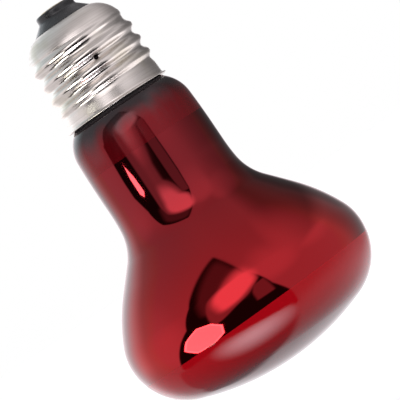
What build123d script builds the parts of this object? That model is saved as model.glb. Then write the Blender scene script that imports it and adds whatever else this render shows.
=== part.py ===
from build123d import *
from math import acos, asin, cos, degrees, radians, sin, sqrt, tan
import os

# Reflector heat lamp bulb with an E27 screw cap, in millimetres.
# It stands on the middle of its domed face at the origin, with the cap up along +Z.

# Glass: radii of the outline from the face to the neck
bulb_diameter = 63.0
face_radius = 61.5
rim_radius = 14.8
back_radius = 12.8
back_angle = 24.8
flank_radius = 43.0
flank_angle = 41.6
throat_radius = 15.0
neck_diameter = 31.6
neck_end = 62.7
shoulder_radius = 11.0

# Glass inside the cap: sealed end, flare round the leads and exhaust tube
seal_diameter = 21.8
seal_length = 9.4
seal_rim = 1.2
flare_depth = 14.0
flare_foot_diameter = 9.6
exhaust_diameter = 4.0
exhaust_stub = 3.2

# Cap sheet: rolled screw shell with a flared lip and a pressed end
sheet = 0.3
lip_diameter = 26.7
lip_gap = 0.95
skirt_diameter = 25.2
skirt_height = 3.2
skirt_fall = 2.2
end_height = 18.0
end_rise = 4.5
end_radius = 7.0
mouth_diameter = 15.2

# E27 thread: round crests, right-handed
thread_pitch = 3.629
thread_diameter = 26.2
thread_depth = 1.1
crest_radius = 1.025
crest_angle = 42.0
crest_flat_count = 4
groove_flat_count = 2
crest_height = 6.4
thread_first_angle = -90.0
thread_full_angle = 1008.0
run_in_angle = 198.0
run_out_angle = 342.0
run_in_sink = 0.75
run_out_sink = 1.9

# Insulator, contact and solder at the tip
cap_length = 26.9
tip_diameter = 9.9
tip_fall = 0.5
tip_edge = 0.6
tip_land = 1.1
cone_fillet = 0.7
contact_diameter = 6.6
contact_sheet = 0.2
eyelet_diameter = 1.8
eyelet_tail = 0.5
solder_diameter = 5.0
solder_plug = 1.2

# Leads, side solder and cement
lead_diameter = 0.22
lead_offset = 3.4
lead_bend = 1.0
lead_clear = 0.08
bead_radius = 0.6
cement_foot = 1.55
cement_height = 3.4
fit_gap = 0.05

# Worked out from the values above
bulb_radius = bulb_diameter / 2
neck_radius = neck_diameter / 2
seal_radius = seal_diameter / 2
lip_radius = lip_diameter / 2
skirt_radius = skirt_diameter / 2
mouth_radius = mouth_diameter / 2
thread_radius = thread_diameter / 2
root_radius = thread_radius - thread_depth
tip_radius = tip_diameter / 2
eyelet_radius = eyelet_diameter / 2
lead_radius = lead_diameter / 2
face_angle = degrees(asin((bulb_radius - rim_radius) / (face_radius - rim_radius)))
shoulder_middle = neck_radius - shoulder_radius
cap_foot = neck_end + sqrt(shoulder_radius**2 - (lip_radius - lip_gap - shoulder_middle) ** 2)
cap_end = cap_foot + end_height
cap_mouth = cap_end + end_rise
cap_tip = cap_foot + cap_length
tip_face = cap_tip - tip_fall
seal_foot = neck_end + sqrt(shoulder_radius**2 - (seal_radius - shoulder_middle) ** 2)
seal_end = seal_foot + seal_length
flare_foot = seal_end - flare_depth
skirt_top = cap_foot + skirt_height
thread_start = skirt_top + skirt_fall
gap_middle = (seal_radius + root_radius - sheet) / 2
contact_top = tip_face + contact_sheet
lip_flare = lip_radius - skirt_radius + sheet
lip_across = lip_radius - shoulder_middle
lip_up = cap_foot + lip_flare - neck_end
lip_reach = sqrt(lip_across**2 + lip_up**2)
throat_middle = (lip_reach + shoulder_radius - lip_flare) / 2
throat_r = shoulder_middle + throat_middle * lip_across / lip_reach
throat_z = neck_end + throat_middle * lip_up / lip_reach
throat_slope = lip_across / lip_up
throat_rise = (throat_r - gap_middle) * throat_slope


def revolved(outline):
    """Full turn about the lamp's axis of the closed outline that the function draws."""
    with BuildPart() as turned:
        with BuildSketch(Plane.XZ):
            with BuildLine():
                outline()
            make_face()
        revolve(axis=Axis.Z)
    return turned.part


def small_round(start, corner, end):
    """Rounding of a small corner, drawn as two chords."""
    middle = (Vector(start) + Vector(corner) * 2 + Vector(end)) / 4
    return Polyline(start, middle, end)


def glass_outline():
    """Blown bulb from the middle of its face to the sealed end and exhaust tube in the cap."""
    face = JernArc((0, 0), (1, 0), face_radius, face_angle)
    rim = JernArc(face @ 1, face % 1, rim_radius, 90 - face_angle)
    back = JernArc(rim @ 1, rim % 1, back_radius, back_angle)
    flank = JernArc(back @ 1, back % 1, flank_radius, flank_angle - back_angle)
    slope = radians(flank_angle)
    run = ((flank @ 1).X - neck_radius - throat_radius * (1 - cos(slope))) / sin(slope)
    taper = PolarLine(flank @ 1, run, 90 + flank_angle)
    throat = JernArc(taper @ 1, taper % 1, throat_radius, -flank_angle)
    neck = Line(throat @ 1, (neck_radius, neck_end))
    shoulder_angle = degrees(acos((seal_radius - shoulder_middle) / shoulder_radius))
    shoulder = JernArc(neck @ 1, neck % 1, shoulder_radius, shoulder_angle)
    Line(shoulder @ 1, (seal_radius, seal_end - seal_rim))
    crown = seal_radius - seal_rim
    small_round((seal_radius, seal_end - seal_rim), (seal_radius, seal_end), (crown, seal_end))
    flare = Line((crown, seal_end), (flare_foot_diameter / 2, flare_foot))
    press = Line(flare @ 1, (exhaust_diameter / 2, flare_foot))
    tube = Line(press @ 1, (exhaust_diameter / 2, seal_end + exhaust_stub / 2))
    tube_end = seal_end + exhaust_stub
    Polyline(tube @ 1, (0, tube_end), (0, 0))


def end_arc(inset):
    """Pressed end of the cap sheet, from the thread to the mouth, with its face moved in."""
    return RadiusArc((root_radius - inset, cap_end), (mouth_radius, cap_mouth - inset), -end_radius)


def cap_outline(inset):
    """Cap sheet closed to the axis, with its outer face moved in by the inset."""
    wall = skirt_radius - inset
    flare_radius = lip_radius - wall
    lip_face = cap_foot + sheet - inset
    Polyline((0, cap_mouth - inset), (0, lip_face - sheet), (lip_radius, lip_face - sheet), (lip_radius, lip_face))
    flare = JernArc((lip_radius, lip_face), (-1, 0), flare_radius, -90)
    Polyline(flare @ 1, (wall, skirt_top), (root_radius - inset, thread_start), (root_radius - inset, cap_end))
    Line(end_arc(inset) @ 1, (0, cap_mouth - inset))


def thread_section(inset, foot, sink, flats):
    """One rolled crest, drawn as flats that touch its round from one flank to the other."""
    turn = radians(crest_angle)
    middle = thread_radius - crest_radius - sink
    reach = (crest_radius - inset) / cos(turn / flats)
    angles = [turn * ((2 * count + 1) / flats - 1) for count in range(flats)]
    corners = [(middle + reach * cos(angle), reach * sin(angle)) for angle in angles]
    top_x, top_y = corners[-1]
    foot_x = foot - sink
    foot_y = top_y + (top_x - foot_x) / tan(turn)
    Polyline((foot_x, -foot_y), *corners, (foot_x, foot_y), close=True)


def thread_stretch(inset, foot, flats, angles, sinks):
    """Sweep of the crest between two angles about the axis, sinking into the sheet at either end."""
    heights = [cap_foot + crest_height + thread_pitch * angle / 360 for angle in angles]
    with BuildPart() as stretch:
        with BuildLine():
            Helix(thread_pitch, heights[1] - heights[0], thread_radius, center=(0, 0, heights[0]))
        for angle, height, sink in zip(angles, heights, sinks):
            turn = radians(angle - angles[0])
            outward = (cos(turn), sin(turn), 0)
            with BuildSketch(Plane((0, 0, height), x_dir=outward, z_dir=(sin(turn), -cos(turn), 0))):
                with BuildLine():
                    thread_section(inset, foot, sink, flats)
                make_face()
        sweep(multisection=True, is_frenet=True)
    return stretch.part.rotate(Axis.Z, angles[0])


def thread(inset, foot, flats):
    """Whole thread with its run-in at the skirt and its run-out at the pressed end."""
    full_from = thread_first_angle
    full_to = full_from + thread_full_angle
    stretches = (
        ((full_from - run_in_angle, full_from), (run_in_sink, 0)),
        ((full_from, full_to), (0, 0)),
        ((full_to, full_to + run_out_angle), (0, run_out_sink)),
    )
    with BuildPart() as whole:
        for angles, sinks in stretches:
            add(thread_stretch(inset, foot, flats, angles, sinks))
    return whole.part


def insulator_outline():
    """Black glass that fills the pressed end and rises through its mouth to a blunt cone."""
    collar = mouth_radius - fit_gap
    bore = eyelet_radius + fit_gap
    Polyline((bore, tip_face), (bore, cap_end), (root_radius - sheet - fit_gap, cap_end))
    inner = end_arc(sheet + fit_gap)
    tip_foot = tip_face - tip_edge - tip_land
    Polyline(
        inner @ 1,
        (collar, cap_mouth - sheet - fit_gap),
        (collar, cap_mouth),
        (tip_radius + cone_fillet, tip_foot - cone_fillet),
    )
    hollow = small_round(
        (tip_radius + cone_fillet, tip_foot - cone_fillet),
        (tip_radius, tip_foot),
        (tip_radius, tip_foot + cone_fillet),
    )
    Line(hollow @ 1, (tip_radius, tip_face - tip_edge))
    edge = small_round((tip_radius, tip_face - tip_edge), (tip_radius, tip_face), (tip_radius - tip_edge, tip_face))
    Line(edge @ 1, (bore, tip_face))


def contact_outline():
    """Contact disc with the eyelet tube that holds it in the insulator."""
    inner = eyelet_radius - contact_sheet
    Polyline(
        (inner, contact_top),
        (inner, cap_end - eyelet_tail),
        (eyelet_radius, cap_end - eyelet_tail),
        (eyelet_radius, tip_face),
        (contact_diameter / 2, tip_face),
        (contact_diameter / 2, contact_top),
        close=True,
    )


def solder_outline():
    """Drop of solder that closes the eyelet over the end of its lead."""
    plug = eyelet_radius - contact_sheet - fit_gap
    edge = solder_diameter / 2
    Polyline((0, cap_tip), (0, contact_top - solder_plug), (plug, contact_top - solder_plug), (plug, contact_top))
    Line((plug, contact_top), (edge, contact_top))
    height = cap_tip - contact_top
    RadiusArc((edge, contact_top), (0, cap_tip), -(edge**2 + height**2) / (2 * height))


def cement_outline():
    """Ring of cement between the sealed end of the glass and the skirt."""
    foot = cap_foot + cement_foot
    top = foot + cement_height
    wall = skirt_radius - sheet - fit_gap
    fall = (skirt_radius - root_radius) * (top - skirt_top) / skirt_fall
    inner = seal_radius + fit_gap
    Polyline((inner, foot), (wall, foot), (wall, skirt_top), (wall - fall, top), (inner, top), close=True)


def lead(route):
    """Round wire along a bent route in the plane through the axis and the side solder."""
    with BuildPart() as wire:
        with BuildLine(Plane.YZ) as path:
            FilletPolyline(*route, radius=lead_bend)
        with BuildSketch(Plane(path.line @ 0, z_dir=path.line % 0)):
            Circle(lead_radius)
        sweep()
    return wire.part


os.makedirs("parts", exist_ok=True)

with BuildPart() as glass_envelope:
    add(revolved(glass_outline))
glass_envelope.part.label = "glass_envelope"

with BuildPart() as screw_shell:
    add(revolved(lambda: cap_outline(0)))
    add(thread(0, root_radius - sheet / 2, crest_flat_count))
    add(revolved(lambda: cap_outline(sheet)), mode=Mode.SUBTRACT)
    add(thread(sheet, root_radius - sheet * 1.5, groove_flat_count), mode=Mode.SUBTRACT)
    with Locations((0, 0, cap_mouth)):
        Cylinder(mouth_radius, 4 * sheet, mode=Mode.SUBTRACT)
screw_shell.part.label = "screw_shell"

with BuildPart() as insulator:
    add(revolved(insulator_outline))
insulator.part.label = "insulator"

with BuildPart() as contact_eyelet:
    add(revolved(contact_outline))
contact_eyelet.part.label = "contact_eyelet"

with BuildPart() as contact_solder:
    add(revolved(solder_outline))
contact_solder.part.label = "contact_solder"

with BuildPart() as basing_cement:
    add(revolved(cement_outline))
    with Locations((0, gap_middle, cap_foot + cement_foot + cement_height / 2)):
        Cylinder(lead_radius + lead_clear, 2 * cement_height, mode=Mode.SUBTRACT)
basing_cement.part.label = "basing_cement"

with BuildPart() as contact_lead:
    add(
        lead(
            (
                (-lead_offset, flare_foot),
                (-lead_offset, seal_end + exhaust_stub),
                (0, cap_end - eyelet_tail - lead_bend),
                (0, contact_top - solder_plug),
            )
        )
    )
contact_lead.part.label = "contact_lead"

with BuildPart() as side_lead:
    add(
        lead(
            (
                (lead_offset, flare_foot),
                (lead_offset, seal_end + lead_bend),
                (gap_middle, seal_end + lead_bend),
                (gap_middle, throat_z + throat_rise),
                (lip_radius, throat_z - (lip_radius - throat_r) * throat_slope),
            )
        )
    )
side_lead.part.label = "side_lead"

with BuildPart() as side_solder:
    with Locations(Location((0, lip_radius, cap_foot + sheet / 2), (-90, 0, 0))):
        Sphere(bead_radius, arc_size1=0, align=(Align.CENTER, Align.CENTER, Align.MIN))
side_solder.part.label = "side_solder"

export_step(glass_envelope.part, "parts/glass_envelope.step")
export_step(screw_shell.part, "parts/screw_shell.step")
export_step(insulator.part, "parts/insulator.step")
export_step(contact_eyelet.part, "parts/contact_eyelet.step")
export_step(contact_solder.part, "parts/contact_solder.step")
export_step(basing_cement.part, "parts/basing_cement.step")
export_step(contact_lead.part, "parts/contact_lead.step")
export_step(side_lead.part, "parts/side_lead.step")
export_step(side_solder.part, "parts/side_solder.step")
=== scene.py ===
from math import acos, asin, atan2, cos, degrees, hypot, pi, radians, sin, sqrt, tan

import bpy
from mathutils import Matrix, Vector, noise


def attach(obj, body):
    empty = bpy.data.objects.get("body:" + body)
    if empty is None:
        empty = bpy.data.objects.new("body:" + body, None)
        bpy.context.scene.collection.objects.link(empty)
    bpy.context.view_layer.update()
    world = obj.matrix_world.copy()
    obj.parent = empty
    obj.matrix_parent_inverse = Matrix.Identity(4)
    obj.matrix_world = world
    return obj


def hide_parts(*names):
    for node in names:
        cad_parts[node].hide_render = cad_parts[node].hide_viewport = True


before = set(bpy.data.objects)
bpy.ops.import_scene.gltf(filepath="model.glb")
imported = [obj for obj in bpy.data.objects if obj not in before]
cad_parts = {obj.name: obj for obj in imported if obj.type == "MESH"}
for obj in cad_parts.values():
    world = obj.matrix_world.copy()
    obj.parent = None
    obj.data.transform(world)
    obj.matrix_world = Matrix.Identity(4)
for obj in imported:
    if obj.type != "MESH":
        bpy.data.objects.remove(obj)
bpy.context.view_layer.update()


# Glass bulb: one bubble of ruby glass, blown and then sealed round its stem inside the cap.
# The body and neck are mirrored from inside. The mirror stops in a sharp ring just under the
# widest part, with clear ruby glass below it, and again under the smoky top of the neck.
bulb_radius = 0.03148
face_radius = 0.0615
rim_radius = 0.0148
mirror_edge_heading = 75.6
mirror_edge_tilt = 0.03
back_radius = 0.0128
back_heading = 114.8
flank_radius = 0.043
flank_heading = 131.6
throat_radius = 0.0125
throat_end_heading = 96.5
ease_radius = 0.042
neck_radius = 0.01564
taper_start = 0.0545
taper_radius = 0.19
taper_heading = 92.85
mirror_top = 0.0594
shoulder_radius = 0.009
seal_radius = 0.0109
seal_end = 0.08117
seal_rim = 0.0006
stem_radius = 0.0048
stem_depth = 0.014
tube_radius = 0.002
tube_stub = 0.0032
bulb_sides = 224
face_steps = 44
rim_steps, rim_top_steps = 40, 12
back_steps = 22
flank_steps, slope_steps = 24, 12
throat_steps = 40
ease_steps = 24
neck_steps = 6
taper_steps = 24
shoulder_steps = 36
seal_steps, seal_rim_steps = 3, 4
stem_steps, press_steps, tube_steps = 4, 2, 4
body_ruby = (0.415, 0.0045, 0.0098, 1)
throat_ruby = (0.222, 0.0060, 0.0120, 1)
throat_heights = (0.022, 0.054)
cloud_grain = (25.0, 1.0)
cloud_limits = (0.3, 0.7)
cloud_most = 0.16
mirror_roughness = 0.05
grazing_ruby = (0.2, 0.0, 0.0, 1)
glass_ior = 1.28
skin_roughness = 0.03
neck_ruby = (0.205, 0.0040, 0.0090, 1)
neck_haze = (0.150, 0.050, 0.055, 1)
neck_smoke = (0.044, 0.034, 0.036, 1)
lip_painted_light = (0.17, 0.15, 0.155, 1)
streak_stretch = (300.0, 300.0, 22.0)
streak_grain = (1.0, 2.0)
streak_lift = 0.004
smoke_heights = (0.0646, 0.0712)
haze_streaks = (0.42, 0.68)
haze_most = 0.28
haze_heights = (0.0598, 0.0625)
lip_light_heights = (0.0696, 0.0703)
dull_streaks = (0.4, 0.7)
neck_roughness = (0.05, 0.12)
neck_mirror = 0.6
face_ruby = (0.435, 0.0028, 0.0080, 1)
face_painted_shade = (0.10, 0.0008, 0.0020, 1)
across_axis = (1.0, 1.0, 0.0)
face_shade_limits = (0.0212, 0.030)
face_marks = (60.0, 900.0)
face_roughness = (0.04, 0.08)


def arc(path, heading, radius, turn, steps):
    """Carries a path of (radius, height) points on along a tangent arc, and gives its heading."""
    side = 1 if turn > 0 else -1
    start = radians(heading)
    r, z = path[-1]
    middle_r = r - side * radius * sin(start)
    middle_z = z + side * radius * cos(start)
    for step in range(1, steps + 1):
        angle = radians(heading + turn * step / steps)
        path.append((middle_r + side * radius * sin(angle), middle_z - side * radius * cos(angle)))
    return heading + turn


def straight(path, end, steps):
    """Carries a path on along a straight line to the end point."""
    r, z = path[-1]
    for step in range(1, steps + 1):
        share = step / steps
        path.append((r + (end[0] - r) * share, z + (end[1] - z) * share))


def turned(name, path, sides, closed=False):
    """Mesh object turned about the lamp's axis from a path of (radius, height) points."""
    on_axis = 1e-7
    points, rings = [], []
    for r, z in path:
        first = len(points)
        count = 1 if r < on_axis else sides
        for side in range(count):
            angle = 2 * pi * side / sides
            points.append((r * cos(angle), r * sin(angle), z))
        rings.append((first, count))
    if closed:
        rings.append(rings[0])
    faces = []
    for (low, low_count), (high, high_count) in zip(rings, rings[1:]):
        for side in range(sides):
            after = (side + 1) % sides
            face = [low + side % low_count, low + after % low_count]
            face += [high + after % high_count, high + side % high_count]
            corners = list(dict.fromkeys(face))
            if len(corners) > 2:
                faces.append(corners)
    mesh = bpy.data.meshes.new(name)
    mesh.from_pydata(points, [], faces)
    mesh.shade_smooth()
    piece = bpy.data.objects.new(name, mesh)
    bpy.context.scene.collection.objects.link(piece)
    return piece


def put(tree, kind, inputs=None, **settings):
    """New node in a tree. An input is given as a value, or as the output that it is linked to."""
    node = tree.nodes.new(kind)
    for name, value in settings.items():
        setattr(node, name, value)
    for name, value in (inputs or {}).items():
        if isinstance(value, bpy.types.NodeSocket):
            tree.links.new(value, node.inputs[name])
        else:
            node.inputs[name].default_value = value
    return node


def ramp(tree, value, low, high, to_low=0.0, to_high=1.0):
    """Smooth step of a value between two limits."""
    limits = {"From Min": low, "From Max": high, "To Min": to_low, "To Max": to_high}
    limits["Value"] = value
    node = put(tree, "ShaderNodeMapRange", limits, interpolation_type="SMOOTHSTEP")
    return node.outputs["Result"]


def blend(tree, factor, first, second):
    """Mix of two colours by a factor that changes over the surface."""
    colours = {0: factor, 6: first, 7: second}
    return put(tree, "ShaderNodeMix", colours, data_type="RGBA").outputs[2]


def combine(tree, operation, first, second):
    """Arithmetic on two values, at least one of which changes over the surface."""
    return put(tree, "ShaderNodeMath", {0: first, 1: second}, operation=operation).outputs[0]


def vectors(tree, operation, *inputs):
    """Arithmetic on vectors, whose result is a vector or a value as the operation has it."""
    node = put(tree, "ShaderNodeVectorMath", dict(enumerate(inputs)), operation=operation)
    return node.outputs["Value" if operation in ("LENGTH", "DISTANCE", "DOT_PRODUCT") else "Vector"]


def height_of(tree, place):
    """Height of a place on the piece."""
    return put(tree, "ShaderNodeSeparateXYZ", {"Vector": place}).outputs["Z"]


def grain_of(tree, place, scale, detail):
    """Cloudy noise over a piece."""
    settings = {"Vector": place, "Scale": scale, "Detail": detail}
    return put(tree, "ShaderNodeTexNoise", settings).outputs["Fac"]


def stretched(tree, place, scale):
    """Place on the piece, stretched so that noise turns into streaks."""
    return put(tree, "ShaderNodeMapping", {"Vector": place, "Scale": scale}).outputs["Vector"]


def finish_of(name):
    """Material with an empty tree, its Principled shader, and the place on the piece in metres."""
    material = bpy.data.materials.new(name)
    material.use_nodes = True
    tree = material.node_tree
    tree.nodes.clear()
    shader = put(tree, "ShaderNodeBsdfPrincipled")
    put(tree, "ShaderNodeOutputMaterial", {"Surface": shader.outputs["BSDF"]})
    place = put(tree, "ShaderNodeTexCoord").outputs["Object"]
    return material, tree, shader, place


def glass_skin(shader):
    """Smooth outer face of the glass over what lies behind it, dark red where seen edge on."""
    shader.inputs["Specular Tint"].default_value = grazing_ruby
    shader.inputs["Coat Weight"].default_value = 1.0
    shader.inputs["Coat Roughness"].default_value = skin_roughness
    shader.inputs["Coat IOR"].default_value = glass_ior


# Marks that handling leaves on glass and metal: a soft cloud of smears with finer specks in it.
smear_detail, smear_swirl, smear_limits = 3.0, 0.6, (0.45, 0.75)
speck_detail, speck_limits = 2.0, (0.62, 0.72)
marks = bpy.data.node_groups.new("handling_marks", "ShaderNodeTree")
for socket, kind in (("Place", "Vector"), ("Smear Scale", "Float"), ("Speck Scale", "Float")):
    marks.interface.new_socket(socket, in_out="INPUT", socket_type="NodeSocket" + kind)
for socket in ("Smears", "Specks"):
    marks.interface.new_socket(socket, in_out="OUTPUT", socket_type="NodeSocketFloat")
marks_in = put(marks, "NodeGroupInput").outputs
cloud = put(marks, "ShaderNodeTexNoise", {"Vector": marks_in["Place"], "Detail": smear_detail})
cloud.inputs["Distortion"].default_value = smear_swirl
marks.links.new(marks_in["Smear Scale"], cloud.inputs["Scale"])
speck = grain_of(marks, marks_in["Place"], marks_in["Speck Scale"], speck_detail)
smeared = ramp(marks, cloud.outputs["Fac"], *smear_limits)
put(marks, "NodeGroupOutput", {"Smears": smeared, "Specks": ramp(marks, speck, *speck_limits)})


def handling(tree, place, smear_scale, speck_scale):
    """Places the handling marks in a material and gives its outputs."""
    scales = {"Place": place, "Smear Scale": smear_scale, "Speck Scale": speck_scale}
    return put(tree, "ShaderNodeGroup", scales, node_tree=marks).outputs


face_heading = degrees(asin((bulb_radius - rim_radius) / (face_radius - rim_radius)))
bulb_path = [(0.0, 0.0)]
heading = arc(bulb_path, 0, face_radius, face_heading, face_steps)
heading = arc(bulb_path, heading, rim_radius, mirror_edge_heading - face_heading, rim_steps)
mirror_edge = bulb_path[-1][1]
heading = arc(bulb_path, heading, rim_radius, 90 - heading, rim_top_steps)
heading = arc(bulb_path, heading, back_radius, back_heading - heading, back_steps)
heading = arc(bulb_path, heading, flank_radius, flank_heading - heading, flank_steps)
lean = radians(flank_heading - 90)
ease = radians(throat_end_heading - 90)
eased_radius = neck_radius + ease_radius * (1 - cos(ease))
throat_start = eased_radius + throat_radius * (cos(ease) - cos(lean))
flank_r, flank_z = bulb_path[-1]
slope_end = (throat_start, flank_z + (flank_r - throat_start) / tan(lean))
straight(bulb_path, slope_end, slope_steps)
heading = arc(bulb_path, heading, throat_radius, throat_end_heading - heading, throat_steps)
heading = arc(bulb_path, heading, ease_radius, 90 - heading, ease_steps)
straight(bulb_path, (neck_radius, taper_start), neck_steps)
heading = arc(bulb_path, heading, taper_radius, taper_heading - heading, taper_steps)
shoulder_middle = bulb_path[-1][0] - shoulder_radius * sin(radians(heading))
shoulder_end = 90 + degrees(acos((seal_radius - shoulder_middle) / shoulder_radius))
arc(bulb_path, heading, shoulder_radius, shoulder_end - heading, shoulder_steps)
straight(bulb_path, (seal_radius, seal_end - seal_rim), seal_steps)
arc(bulb_path, 90, seal_rim, 90, seal_rim_steps)
straight(bulb_path, (stem_radius, seal_end - stem_depth), stem_steps)
straight(bulb_path, (tube_radius, seal_end - stem_depth), press_steps)
straight(bulb_path, (tube_radius, seal_end + tube_stub), tube_steps)
straight(bulb_path, (0.0, seal_end + tube_stub), press_steps)
bulb = turned("bulb", bulb_path, bulb_sides)

# The rings of the rim lean a little, most at the mirror's edge, because the coat ran unevenly.
rim_middle_r = bulb_radius - rim_radius
rim_middle_z = mirror_edge + rim_radius * cos(radians(mirror_edge_heading))
for point in bulb.data.vertices:
    r = hypot(point.co.x, point.co.y)
    heading = degrees(atan2(r - rim_middle_r, rim_middle_z - point.co.z))
    if face_heading < heading < 90 and point.co.z < rim_middle_z:
        if heading < mirror_edge_heading:
            share = (heading - face_heading) / (mirror_edge_heading - face_heading)
        else:
            share = (90 - heading) / (90 - mirror_edge_heading)
        turn = radians(heading) + share * mirror_edge_tilt * point.co.x / rim_radius
        moved = (rim_middle_r + rim_radius * sin(turn)) / r
        z = rim_middle_z - rim_radius * cos(turn)
        point.co = (point.co.x * moved, point.co.y * moved, z)

mirrored, tree, shader, place = finish_of("mirrored_ruby_glass")
coat = blend(tree, ramp(tree, height_of(tree, place), *throat_heights), body_ruby, throat_ruby)
cloudy = ramp(tree, grain_of(tree, place, *cloud_grain), *cloud_limits, 0.0, cloud_most)
tree.links.new(blend(tree, cloudy, coat, throat_ruby), shader.inputs["Base Color"])
shader.inputs["Roughness"].default_value = mirror_roughness
shader.inputs["Metallic"].default_value = 1.0
glass_skin(shader)

neck, tree, shader, place = finish_of("clear_ruby_neck")
height = height_of(tree, place)
streaks = grain_of(tree, stretched(tree, place, streak_stretch), *streak_grain)
uneven = combine(tree, "ADD", height, combine(tree, "MULTIPLY", streaks, streak_lift))
hazy_streaks = ramp(tree, streaks, *haze_streaks, 0.0, haze_most)
haze = combine(tree, "MULTIPLY", hazy_streaks, ramp(tree, height, *haze_heights))
ruby = blend(tree, haze, neck_ruby, neck_haze)
smoked = blend(tree, ramp(tree, uneven, *smoke_heights), ruby, neck_smoke)
# Just under the lip the colour is painted paler: painted light on glass that the lip shades.
lip_lightened = blend(tree, ramp(tree, height, *lip_light_heights), smoked, lip_painted_light)
tree.links.new(lip_lightened, shader.inputs["Base Color"])
tree.links.new(ramp(tree, streaks, *dull_streaks, *neck_roughness), shader.inputs["Roughness"])
shader.inputs["Metallic"].default_value = neck_mirror
shader.inputs["Specular IOR Level"].default_value = 0.0
glass_skin(shader)

clear, tree, shader, place = finish_of("clear_ruby_face")
# The middle of the clear face is painted dark, fading to ruby towards the rim: painted shade of the
# bulb's inside seen through the glass.
out_from_axis = vectors(tree, "LENGTH", vectors(tree, "MULTIPLY", place, across_axis))
face_shade_fall = put(tree, "ShaderNodeMapRange", {"Value": out_from_axis})
face_shade_fall.inputs["From Min"].default_value, face_shade_fall.inputs["From Max"].default_value = face_shade_limits
face_with_painted_shade = blend(tree, face_shade_fall.outputs["Result"], face_painted_shade, face_ruby)
tree.links.new(face_with_painted_shade, shader.inputs["Base Color"])
smears = handling(tree, place, *face_marks)["Smears"]
tree.links.new(ramp(tree, smears, 0.0, 1.0, *face_roughness), shader.inputs["Roughness"])
shader.inputs["IOR"].default_value = glass_ior

for zone in (mirrored, clear, neck):
    bulb.data.materials.append(zone)
for face in bulb.data.polygons:
    edge = mirror_edge + mirror_edge_tilt * face.center.x
    face.material_index = 1 if face.center.z < edge else 2 if face.center.z > mirror_top else 0
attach(bulb, "root")
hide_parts("glass_envelope")


# Lead wires: bare copper-clad wire, one from the stem to the contact and one that comes out
# between glass and cap to the solder on the lip. They keep the solids' own bent shape.
wire_bright = (0.62, 0.33, 0.20, 1)
wire_dull = (0.34, 0.17, 0.10, 1)
wire_marks = (500.0, 3000.0)
wire_roughness = (0.25, 0.5)


def smeared_metal(name, bright, dull, scales, roughness):
    """Bare metal that is duller and rougher where it is smeared."""
    material, tree, shader, place = finish_of(name)
    smears = handling(tree, place, *scales)["Smears"]
    tree.links.new(blend(tree, smears, bright, dull), shader.inputs["Base Color"])
    tree.links.new(ramp(tree, smears, 0.0, 1.0, *roughness), shader.inputs["Roughness"])
    shader.inputs["Metallic"].default_value = 1.0
    return material, tree, shader, place


def dress(node, material):
    """Gives a solid of the frame its finish."""
    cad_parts[node].data.materials.clear()
    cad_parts[node].data.materials.append(material)


wire = smeared_metal("bare_copper_wire", wire_bright, wire_dull, wire_marks, wire_roughness)[0]
dress("contact_lead", wire)
dress("side_lead", wire)


# Basing cement: a ring of dark baked cement that fixes the sealed end of the glass in the cap.
# It is put in wet and cures hard and grainy, and shows only as a dark line under the lip.
cement_dark = (0.020, 0.018, 0.017, 1)
cement_pale = (0.055, 0.048, 0.043, 1)
cement_grain = (2500.0, 4.0)
pale_limits = (0.4, 0.7)
rough_limits = (0.3, 0.7)
cement_roughness = (0.8, 0.95)
cement_relief = (0.6, 0.0001)


def raise_grain(tree, shader, grain, strength, distance):
    """Fine relief on a surface."""
    relief = {"Height": grain, "Strength": strength, "Distance": distance}
    bump = put(tree, "ShaderNodeBump", relief)
    tree.links.new(bump.outputs["Normal"], shader.inputs["Normal"])


cement, tree, shader, place = finish_of("baked_cement")
grain = grain_of(tree, place, *cement_grain)
mottled = blend(tree, ramp(tree, grain, *pale_limits), cement_dark, cement_pale)
tree.links.new(mottled, shader.inputs["Base Color"])
tree.links.new(ramp(tree, grain, *rough_limits, *cement_roughness), shader.inputs["Roughness"])
raise_grain(tree, shader, grain, *cement_relief)
dress("basing_cement", cement)


# Screw shell: thin brass sheet, drawn to a cup, flared at the lip, rolled with the round thread
# and nickel plated. The pressed end closes over the insulator.
sheet = 0.0003
cap_foot = 0.070652
lip_radius = 0.01335
skirt_radius = 0.0126
skirt_top = 0.073852
skirt_draft = 0.0001
thread_start = 0.076052
root_radius = 0.012
cap_end = 0.088652
end_radius = 0.007
cap_mouth = 0.093152
mouth_radius = 0.0076
mouth_clear = 0.0005
crest_radius = 0.001025
crest_top = 0.0131
crest_lean = 42.0
crest_base = 0.077052
thread_pitch = 0.003629
thread_turns = range(-1, 5)
run_in, thread_first = -288.0, -90.0
thread_full, run_out = 918.0, 1260.0
run_in_sink = 0.00075
run_out_sink = 0.0019
root_round = 0.0004
pit_angle = radians(279.0)
pit_height = 0.0817
pit_radius = 0.00066
pit_core = 0.8
pit_depth = 0.0002
shell_sides = 300
thread_step = 0.00011
lip_steps, flare_steps = 8, 10
skirt_steps, inner_skirt_steps = 6, 4
cone_steps = 10
end_steps = 40
nickel_bright = (0.76, 0.715, 0.675, 1)
nickel_dull = (0.64, 0.595, 0.555, 1)
nickel_worn = (0.60, 0.56, 0.45, 1)
pit_painted_shade = (0.012, 0.010, 0.010, 1)
nickel_marks = (150.0, 2200.0)
drawn_stretch = (60.0, 60.0, 5200.0)
drawn_grain = (1.0, 2.0)
drawn_colours = (0.3, 0.7)
worn_most = 0.5
skirt_heights, skirt_roughness = (0.0755, 0.0785), (0.27, 0.16)
end_heights, end_roughness = (0.0868, 0.0892), (0.0, 0.2)
drawn_gloss, drawn_roughness = (0.3, 0.8), (0.0, 0.06)
smear_roughness = 0.05
drawn_relief = (0.12, 0.00002)
pit_middle = Vector((root_radius * cos(pit_angle), root_radius * sin(pit_angle), pit_height))


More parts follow.
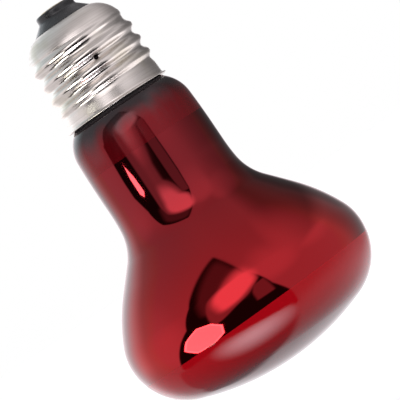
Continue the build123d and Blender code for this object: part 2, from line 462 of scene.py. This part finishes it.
def crest(angle, z):
    """Radius of the nearest thread crest at an angle in degrees and a height, or 0 away from it."""
    best = 0.0
    edge = radians(crest_lean)
    for turn in thread_turns:
        along = angle + 360 * turn
        if not run_in <= along <= run_out:
            continue
        away = abs(z - crest_base - thread_pitch * along / 360)
        if away > thread_pitch:
            continue
        sink = 0.0
        if along < thread_first:
            sink = run_in_sink * (thread_first - along) / (thread_first - run_in)
        if along > thread_full:
            sink = run_out_sink * (along - thread_full) / (run_out - thread_full)
        middle = crest_top - crest_radius - sink
        foot = crest_radius * sin(edge)
        if away < foot:
            best = max(best, middle + sqrt(crest_radius**2 - away**2))
        else:
            best = max(best, middle + crest_radius * cos(edge) - (away - foot) * tan(edge))
    return best


def rolled(angle, r, z):
    """Radius of the sheet's face: the plain wall and the crest joined by a small round."""
    ridge = crest(angle, z)
    overlap = max(root_round - abs(r - ridge), 0.0) / root_round
    return max(r, ridge) + overlap**2 * root_round / 4


end_chord = Vector((mouth_radius - root_radius, cap_mouth - cap_end))
end_middle_out = sqrt(end_radius**2 - (end_chord.length / 2) ** 2)
end_along = end_chord.normalized()
end_middle = Vector((root_radius + mouth_radius, cap_end + cap_mouth)) / 2
end_middle += Vector((-end_along.y, end_along.x)) * end_middle_out
end_from = Vector((root_radius, cap_end)) - end_middle
end_to = Vector((mouth_radius, cap_mouth)) - end_middle
end_start = degrees(atan2(end_from.y, end_from.x))
end_turn = degrees(atan2(end_to.y, end_to.x)) - end_start


def on_end(share, gap):
    """Point of the pressed end's round between its start and the mouth, a gap inside the face."""
    angle = radians(end_start + end_turn * share)
    reach = end_radius - gap
    return end_middle.x + reach * cos(angle), end_middle.y + reach * sin(angle)


lip_edge = sheet / 2
flare_radius = lip_radius - lip_edge - skirt_radius
thread_rows = (cap_end - thread_start) / thread_step
shell_path = [(lip_radius - lip_edge, cap_foot)]
arc(shell_path, 0, lip_edge, 180, lip_steps)
arc(shell_path, 180, flare_radius, -90, flare_steps)
straight(shell_path, (skirt_radius - skirt_draft, skirt_top), skirt_steps)
cone_rows = round((thread_start - skirt_top) / thread_step)
straight(shell_path, (root_radius, thread_start), cone_rows)
straight(shell_path, (root_radius, cap_end), round(thread_rows))
shell_path += [on_end(step / end_steps, 0.0) for step in range(1, end_steps + 1)]
outer_count = len(shell_path)
inner_path = [on_end(1 - step / end_steps, sheet) for step in range(end_steps + 1)]
inner_path[0] = (mouth_radius, inner_path[0][1])
straight(inner_path, (root_radius - sheet, thread_start), round(thread_rows / 2))
straight(inner_path, (skirt_radius - sheet, skirt_top), cone_steps)
flare_top = cap_foot + flare_radius + sheet
straight(inner_path, (skirt_radius - sheet, flare_top), inner_skirt_steps)
arc(inner_path, -90, flare_radius + sheet, 90, flare_steps)
shell_path += inner_path[:-1]
shell = turned("screw_shell_sheet", shell_path, shell_sides, closed=True)
for index, point in enumerate(shell.data.vertices):
    row = index // shell_sides
    r, z = shell_path[row]
    if skirt_top < z < cap_mouth - mouth_clear:
        angle = degrees(atan2(point.co.y, point.co.x)) % 360
        gap = 0.0 if row < outer_count else sheet
        grown = rolled(angle, r + gap, z) - gap
        off_pit = (point.co - pit_middle).length / pit_radius
        if row < outer_count and off_pit < 1:
            grown -= pit_depth * (1 - off_pit**2)
        point.co.x *= grown / r
        point.co.y *= grown / r

nickel, tree, shader, place = finish_of("nickel_plate")
smears = handling(tree, place, *nickel_marks)["Smears"]
drawn = grain_of(tree, stretched(tree, place, drawn_stretch), *drawn_grain)
plate = blend(tree, ramp(tree, drawn, *drawn_colours), nickel_bright, nickel_dull)
worn = blend(tree, combine(tree, "MULTIPLY", smears, worn_most), plate, nickel_worn)
# The pit is painted near black: painted shade in the shallow dent.
off_pit = vectors(tree, "DISTANCE", place, pit_middle)
in_pit = ramp(tree, off_pit, pit_radius, pit_core * pit_radius)
tree.links.new(blend(tree, in_pit, worn, pit_painted_shade), shader.inputs["Base Color"])
height = height_of(tree, place)
rough = ramp(tree, height, *skirt_heights, *skirt_roughness)
for more in (
    ramp(tree, height, *end_heights, *end_roughness),
    ramp(tree, drawn, *drawn_gloss, *drawn_roughness),
    combine(tree, "MULTIPLY", smears, smear_roughness),
):
    rough = combine(tree, "ADD", rough, more)
tree.links.new(rough, shader.inputs["Roughness"])
shader.inputs["Metallic"].default_value = 1.0
raise_grain(tree, shader, drawn, *drawn_relief)
shell.data.materials.append(nickel)
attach(shell, "root")
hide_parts("screw_shell")


# Insulator: black glass, pressed while hot into the end of the shell, where it grips the sheet
# and rises through the mouth as a blunt cone with a rounded rim.
collar_radius = 0.00755
grip_radius = 0.01165
grip_gap = 0.00005
tip_radius = 0.00495
tip_face = 0.097052
tip_edge = 0.0006
cone_end = 0.095352
cone_round = 0.0007
bore_radius = 0.00095
insulator_sides = 160
grip_steps = 24
collar_steps = 2
slant_steps, round_steps = 8, 10
tip_side_steps, tip_face_steps = 3, 6
black_glass = (0.016, 0.016, 0.018, 1)
black_dust = (0.045, 0.045, 0.048, 1)
black_marks = (260.0, 2600.0)
black_roughness = (0.22, 0.4)
black_pits = (700.0, 3.0)
black_relief = (0.25, 0.0001)

insulator_path = [(bore_radius, cap_end), (grip_radius, cap_end)]
for step in range(1, grip_steps + 1):
    r, z = on_end(step / grip_steps, sheet + grip_gap)
    if r > collar_radius:
        insulator_path.append((r, z))
insulator_path.append((collar_radius, insulator_path[-1][1]))
straight(insulator_path, (collar_radius, cap_mouth), collar_steps)
cone = Vector((tip_radius - collar_radius, cone_end - cap_mouth)).normalized()
cone_heading = degrees(atan2(cone.y, cone.x))
cone_cut = cone_round * tan(radians(cone_heading - 90) / 2)
slant_end = (tip_radius - cone.x * cone_cut, cone_end - cone.y * cone_cut)
straight(insulator_path, slant_end, slant_steps)
arc(insulator_path, cone_heading, cone_round, 90 - cone_heading, round_steps)
straight(insulator_path, (tip_radius, tip_face - tip_edge), tip_side_steps)
arc(insulator_path, 90, tip_edge, 90, round_steps)
straight(insulator_path, (bore_radius, tip_face), tip_face_steps)
insulator = turned("black_glass_insulator", insulator_path, insulator_sides, closed=True)

black, tree, shader, place = finish_of("black_pressed_glass")
handled = handling(tree, place, *black_marks)
dusty = blend(tree, handled["Specks"], black_glass, black_dust)
tree.links.new(dusty, shader.inputs["Base Color"])
dulled = ramp(tree, handled["Smears"], 0.0, 1.0, *black_roughness)
tree.links.new(dulled, shader.inputs["Roughness"])
raise_grain(tree, shader, grain_of(tree, place, *black_pits), *black_relief)
insulator.data.materials.append(black)
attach(insulator, "root")
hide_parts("insulator")


# Contact: a stamped brass disc with a tube drawn through the insulator, flared to hold it.
# The stamping leaves fine rings, and the brass has dulled where the solder's flux ran.
brass_bright = (0.58, 0.46, 0.25, 1)
brass_dull = (0.33, 0.26, 0.16, 1)
brass_marks = (700.0, 4000.0)
brass_roughness = (0.3, 0.55)
ring_scale, ring_waver = 1500.0, 1.0
ring_relief = (0.1, 0.00003)
brass, tree, shader, place = smeared_metal(
    "stamped_brass", brass_bright, brass_dull, brass_marks, brass_roughness
)
ring_wave = {"Vector": place, "Scale": ring_scale, "Distortion": ring_waver}
rings = put(tree, "ShaderNodeTexWave", ring_wave, wave_type="RINGS", rings_direction="Z")
raise_grain(tree, shader, rings.outputs["Fac"], *ring_relief)
dress("contact_eyelet", brass)


# Solder: a drop that closes the contact's tube over its lead, and a spot on the lip over the side
# lead. Both set by themselves, so they are a little uneven.
contact_top = 0.097252
solder_top = 0.097552
solder_radius = 0.0025
plug_radius = 0.00065
plug_depth = 0.0012
spot_radius = 0.0006
drop_sides, drop_foot_steps, drop_steps = 72, 4, 16
drop_dents, drop_layer, drop_sag = 900, 3.0, 0.14
spot_sides, spot_foot_steps, spot_steps = 48, 3, 12
spot_dents, spot_layer = 2500, 7.0
spot_least, spot_swell = 0.93, 0.07
solder_bright = (0.46, 0.46, 0.47, 1)
solder_dull = (0.25, 0.25, 0.255, 1)
solder_marks = (900.0, 5000.0)
solder_roughness = (0.28, 0.5)
solder_frost = (2600.0, 3.0)
frost_relief = (0.3, 0.00003)
solder, tree, shader, place = smeared_metal(
    "set_solder", solder_bright, solder_dull, solder_marks, solder_roughness
)
raise_grain(tree, shader, grain_of(tree, place, *solder_frost), *frost_relief)

plug_foot = contact_top - plug_depth
drop_path = [(0.0, plug_foot), (plug_radius, plug_foot), (plug_radius, contact_top)]
straight(drop_path, (solder_radius, contact_top), drop_foot_steps)
drop_height = solder_top - contact_top
for step in range(1, drop_steps + 1):
    r = solder_radius * (1 - step / drop_steps)
    drop_path.append((r, contact_top + drop_height * (1 - (r / solder_radius) ** 2)))
drop = turned("contact_drop", drop_path, drop_sides)
for point in drop.data.vertices:
    share = (point.co.z - contact_top) / drop_height
    if share > 0:
        dent = noise.noise(Vector((point.co.x * drop_dents, point.co.y * drop_dents, drop_layer)))
        point.co.z -= drop_height * drop_sag * share * (1 - dent)

spot_path = [(0.0, 0.0)]
straight(spot_path, (spot_radius, 0.0), spot_foot_steps)
for step in range(1, spot_steps + 1):
    angle = radians(90 * step / spot_steps)
    spot_path.append((spot_radius * cos(angle), spot_radius * sin(angle)))
spot_path[-1] = (0.0, spot_radius)
spot = turned("side_spot", spot_path, spot_sides)
for point in spot.data.vertices:
    dent = noise.noise(point.co * spot_dents + Vector((0.0, 0.0, spot_layer)))
    point.co *= spot_least + spot_swell * dent
on_lip = Matrix.Translation((0, lip_radius, cap_foot + lip_edge))
spot.data.transform(on_lip @ Matrix.Rotation(-pi / 2, 4, "X"))
for piece, node in ((drop, "contact_solder"), (spot, "side_solder")):
    piece.data.materials.append(solder)
    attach(piece, "root")
    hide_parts(node)


# Floor: a wide pale table top under the lamp, which hangs a little above it. The camera sees it
# as white with the lamp's soft shadow. The glass sees a patch just below painted on it: a painted
# shadow of the lamp, with a painted glare of the softbox in front.
floor_drop = 0.03
floor_half = 6.0
floor_pale = (0.86, 0.86, 0.86, 1)
floor_lift = 0.4
painted_shadow_level = 0.36
painted_glare_level = 13.2
glare_tint = (1.0, 0.97, 1.05, 1)
glare_middle = (-0.012, -0.0515, -floor_drop)
glare_spread = (1 / 0.054, 1 / 0.030, 0.0)
millimetre = 0.001
shade_under = [
    (-48, -74), (-8, -73), (12, -66), (27, -58), (28, -42),
    (10, -12), (-2, 12), (-40, 30), (-60, 20), (-92, 0),
]
shade_behind = [(-42, 20), (-10, 0), (-2, 12), (-26, 66), (-31, 66), (-42, 32)]
under_softness, behind_softness = 0.005, 0.004


def flat_mesh(name, points, faces):
    """Flat object of the studio, which isn't part of the lamp."""
    mesh = bpy.data.meshes.new(name)
    mesh.from_pydata(points, [], faces)
    thing = bpy.data.objects.new(name, mesh)
    bpy.context.scene.collection.objects.link(thing)
    return thing


def studio_finish(name):
    """Empty material for a thing of the studio."""
    material = bpy.data.materials.new(name)
    material.use_nodes = True
    material.node_tree.nodes.clear()
    return material, material.node_tree


def within(tree, where, edges, softness):
    """Soft mask of what lies inside every edge, each given as its inward direction and distance."""
    mask = None
    for inward, distance in edges:
        inside = vectors(tree, "DOT_PRODUCT", where, inward)
        edge = ramp(tree, inside, distance - softness, distance + softness)
        mask = edge if mask is None else combine(tree, "MULTIPLY", mask, edge)
    return mask


def table_edges(corners):
    """Edges of a patch of the table top with corners in millimetres, listed anticlockwise."""
    ends = [Vector((x, y, 0)) * millimetre for x, y in corners]
    edges = []
    for first, second in zip(ends, ends[1:] + ends[:1]):
        inward = Vector((first.y - second.y, second.x - first.x, 0)).normalized()
        edges.append((inward, inward.dot(first)))
    return edges


floor_corners = [(-1, -1), (1, -1), (1, 1), (-1, 1)]
floor_points = [(x * floor_half, y * floor_half, -floor_drop) for x, y in floor_corners]
floor = flat_mesh("floor", floor_points, [(0, 1, 2, 3)])
pale, tree = studio_finish("pale_floor")
place = put(tree, "ShaderNodeTexCoord").outputs["Object"]
# Seen only by glossy rays: the lamp's shadow and the softbox's glare, painted as emission.
under = within(tree, place, table_edges(shade_under), under_softness)
behind = within(tree, place, table_edges(shade_behind), behind_softness)
painted_lamp_shadow = combine(tree, "MAXIMUM", under, behind)
from_glare = vectors(tree, "SUBTRACT", place, glare_middle)
from_glare = vectors(tree, "LENGTH", vectors(tree, "MULTIPLY", from_glare, glare_spread))
glare_fall = ramp(tree, from_glare, 1.0, 0.0, painted_shadow_level, painted_glare_level)
glare = put(tree, "ShaderNodeEmission", {"Color": glare_tint, "Strength": glare_fall})
open_air = put(tree, "ShaderNodeBsdfTransparent")
under_lamp = {0: painted_lamp_shadow, 1: open_air.outputs[0], 2: glare.outputs[0]}
below_lamp = put(tree, "ShaderNodeMixShader", under_lamp)
top = put(tree, "ShaderNodeBsdfDiffuse", {"Color": floor_pale})
rays = put(tree, "ShaderNodeLightPath").outputs
lift_level = combine(tree, "MULTIPLY", rays["Is Camera Ray"], floor_lift)
lift = put(tree, "ShaderNodeEmission", {"Strength": lift_level})
lifted = put(tree, "ShaderNodeAddShader", {0: top.outputs[0], 1: lift.outputs[0]})
by_ray = {0: rays["Is Glossy Ray"], 1: lifted.outputs[0], 2: below_lamp.outputs[0]}
surface = put(tree, "ShaderNodeMixShader", by_ray)
put(tree, "ShaderNodeOutputMaterial", {"Surface": surface.outputs[0]})
floor.data.materials.append(pale)


# Studio: a white cloth tent round the lamp, open towards the camera, where the room behind is
# dark. A larger lit panel in its frame hangs in the upper part of the opening.
# Round patches of the tent are azimuth, elevation, inner and outer angle, and level.
warm_side = (1.02, 0.975, 1.01, 1)
cool_side = (0.91, 1.0, 1.05, 1)
cool_patch = (-130, 46, 8, 52)
tent_level = 0.76
tent_patches = [
    (0, 90, 8, 62, 0.60),
    (34, 27, 6, 32, 0.98),
    (-95, -2, 10, 48, 1.0),
    (-154, 3, 8, 44, 1.65),
    (140, 13, 6, 36, 0.44),
    (158, 22, 3, 18, 0.26),
    (120, -62, 20, 52, 1.6),
    (160, -36, 8, 30, 1.4),
    (-125, -42, 8, 40, 0.85),
    (180, -4, 8, 24, 1.25),
    (104, 63, 2, 36, 0.56),
    (84, 35, 2, 30, 0.94),
]
opening_above = [
    (-61.5, -8), (-60.7, 18.5), (-58.5, 45), (-10, 68.5),
    (3, 60), (12, 50), (21, 16), (25, -8),
]
opening_below = [(-99, -30.5), (-58.5, 13), (22, 2), (37, -30), (47, -52)]
above_softness, below_softness, opening_level = 1.4, 1.2, 0.02
frame_cloth = [(-42, 16), (-50, 46), (-40, 56), (-14, 66), (3, 59), (14, 20), (0, 2)]
frame_edge = [
    (-37.5, -8), (-38.5, 14), (-36, 36), (-20, 48), (8, 53),
    (17, 22), (2, 5), (-13, -2), (-27, -8),
]
lit_cloth = [
    (-25, 4.5), (-32, 29), (-27, 41), (-13, 48.5), (10, 51.5),
    (19, 45), (16, 24), (4, 12), (-9, 4.5),
]
camera_stand = [(5.5, -13.5), (5, 3), (9, 14), (20, 16), (23, -13.5)]
opening_things = [
    (frame_cloth, 5.0, 0.18),
    (frame_edge, 2.0, 0.5),
    (lit_cloth, 6.0, 1.95),
    (camera_stand, 1.8, 0.36),
]
world = bpy.data.worlds.new("studio")
bpy.context.scene.world = world
world.use_nodes = True
tree = world.node_tree
tree.nodes.clear()
direction = put(tree, "ShaderNodeTexCoord").outputs["Generated"]


def towards(azimuth, elevation):
    """Direction seen from the lamp: azimuth 0 faces the camera and grows towards +X, in degrees."""
    a, e = radians(azimuth), radians(elevation)
    return Vector((sin(a) * cos(e), -cos(a) * cos(e), sin(e)))


def lobe(azimuth, elevation, inner, outer):
    """Round soft patch of the studio, full within the inner angle and gone at the outer one."""
    along = vectors(tree, "DOT_PRODUCT", direction, towards(azimuth, elevation))
    return ramp(tree, along, cos(radians(outer)), cos(radians(inner)))


def panel(corners, softness):
    """Straight-edged patch of the studio with corners listed clockwise as the lamp sees it."""
    ends = [towards(*corner) for corner in corners]
    pairs = zip(ends, ends[1:] + ends[:1])
    edges = [(second.cross(first).normalized(), 0.0) for first, second in pairs]
    return within(tree, direction, edges, sin(radians(softness)))


def patch(light, mask, level):
    """Studio light with one patch of it set to a level."""
    levels = {0: mask, 2: light, 3: level}
    return put(tree, "ShaderNodeMix", levels, data_type="FLOAT").outputs[0]


light = tent_level
for azimuth, elevation, inner, outer, level in tent_patches:
    light = patch(light, lobe(azimuth, elevation, inner, outer), level)
upper, lower = panel(opening_above, above_softness), panel(opening_below, below_softness)
light = patch(light, combine(tree, "MAXIMUM", upper, lower), opening_level)
for corners, softness, level in opening_things:
    light = patch(light, panel(corners, softness), level)
tent_tint = blend(tree, lobe(*cool_patch), warm_side, cool_side)
tent = put(tree, "ShaderNodeBackground", {"Color": tent_tint, "Strength": light})
white = put(tree, "ShaderNodeBackground", {"Color": (1, 1, 1, 1), "Strength": 1.0})
seen = put(tree, "ShaderNodeLightPath").outputs["Is Camera Ray"]
shown = put(tree, "ShaderNodeMixShader", {0: seen, 1: tent.outputs[0], 2: white.outputs[0]})
put(tree, "ShaderNodeOutputWorld", {"Surface": shown.outputs[0]})
bpy.context.scene.view_settings.view_transform = "Standard"


# Softbox: an eight-sided lamp of white cloth on a frame, in the opening to the left of the camera.
# It stands near enough for the neck and the cap to see it lower than the body does.
softbox_reach = 1.3
softbox_seen_from = Vector((-0.013, -0.028, 0.0165))
softbox_facing = towards(-52, -14)
softbox_corners = [
    (-75, -14.5), (-67.5, -5), (-51.5, 4.6), (-37.5, -2.5),
    (-30.3, -14), (-34.5, -27), (-51, -32.5), (-69, -28),
]
softbox_cloth, softbox_rim = 6.5, 9.0
softbox_tint = (1.0, 0.99, 0.92, 1)
cloth_share = 0.88
frame_points = []
for corner in softbox_corners:
    ray = towards(*corner)
    frame_points.append(softbox_seen_from + ray * (softbox_reach / ray.dot(softbox_facing)))
middle = sum(frame_points, Vector()) / len(frame_points)
cloth_points = [middle + (corner - middle) * cloth_share for corner in frame_points]
count = len(frame_points)
faces = [tuple(range(count, 2 * count))]
for side in range(count):
    after = (side + 1) % count
    faces.append((side, after, count + after, count + side))
softbox = flat_mesh("softbox", frame_points + cloth_points, faces)
softbox.visible_camera = False
for name, level in (("softbox_cloth", softbox_cloth), ("softbox_rim", softbox_rim)):
    lit, tree = studio_finish(name)
    glow = put(tree, "ShaderNodeEmission", {"Color": softbox_tint, "Strength": level})
    put(tree, "ShaderNodeOutputMaterial", {"Surface": glow.outputs[0]})
    softbox.data.materials.append(lit)
for face in softbox.data.polygons:
    face.material_index = 0 if face.index == 0 else 1


# Black card: hangs close beside the neck, off to the right, and only shows as the soft dark side
# of the neck and throat. Its edges fade out, as those of a card this near do.
card_reach = 0.058
card_azimuth = 105
card_half = 0.1
card_low, card_high = 0.034, 0.15
card_black = (0.05, 0.05, 0.05, 1)
card_cover = 0.66
fade_near, fade_far = (-0.095, 0.005), (0.095, 0.06)
fade_foot, fade_top = (0.040, 0.054), (0.15, 0.092)
outward = towards(card_azimuth, 0)
along = Vector((-outward.y, outward.x, 0))
card_points = [
    (-card_half, 0, card_low), (card_half, 0, card_low),
    (card_half, 0, card_high), (-card_half, 0, card_high),
]
card = flat_mesh("black_card", card_points, [(0, 1, 2, 3)])
card.matrix_world = Matrix((along, -outward, Vector((0, 0, 1)))).transposed().to_4x4()
card.location = outward * card_reach
card.visible_camera = False
card.visible_diffuse = False
card.visible_shadow = False
black_cloth, tree = studio_finish("black_card_cloth")
card_place = put(tree, "ShaderNodeTexCoord").outputs["Object"]
spot_on_card = put(tree, "ShaderNodeSeparateXYZ", {"Vector": card_place}).outputs
cover = ramp(tree, spot_on_card["X"], *fade_near)
for axis, fade in (("X", fade_far), ("Z", fade_foot), ("Z", fade_top)):
    cover = combine(tree, "MULTIPLY", cover, ramp(tree, spot_on_card[axis], *fade))
cover = combine(tree, "MULTIPLY", cover, card_cover)
clear_air = put(tree, "ShaderNodeBsdfTransparent")
cloth = put(tree, "ShaderNodeEmission", {"Color": card_black})
faded = put(tree, "ShaderNodeMixShader", {0: cover, 1: clear_air.outputs[0], 2: cloth.outputs[0]})
put(tree, "ShaderNodeOutputMaterial", {"Surface": faded.outputs[0]})
card.data.materials.append(black_cloth)


# Camera: a long lens square to the lamp's axis, rolled so that the cap points up to the left.
# It stands in the tent's opening and takes in a little less than the lamp's length.
camera_distance = 0.8
seen_across = 0.09164
sensor = 36.0
camera_roll = radians(34)
aim = Vector((0.0033, 0.0, 0.0418))
lens = bpy.data.cameras.new("camera")
lens.sensor_width = sensor
lens.lens = sensor * camera_distance / seen_across
camera = bpy.data.objects.new("camera", lens)
bpy.context.scene.collection.objects.link(camera)
right = Vector((cos(camera_roll), 0, -sin(camera_roll)))
up = Vector((sin(camera_roll), 0, cos(camera_roll)))
back = Vector((0, -1, 0))
rolled_camera = Matrix((right, up, back)).transposed().to_4x4()
camera.matrix_world = Matrix.Translation(aim + back * camera_distance) @ rolled_camera
bpy.context.scene.camera = camera
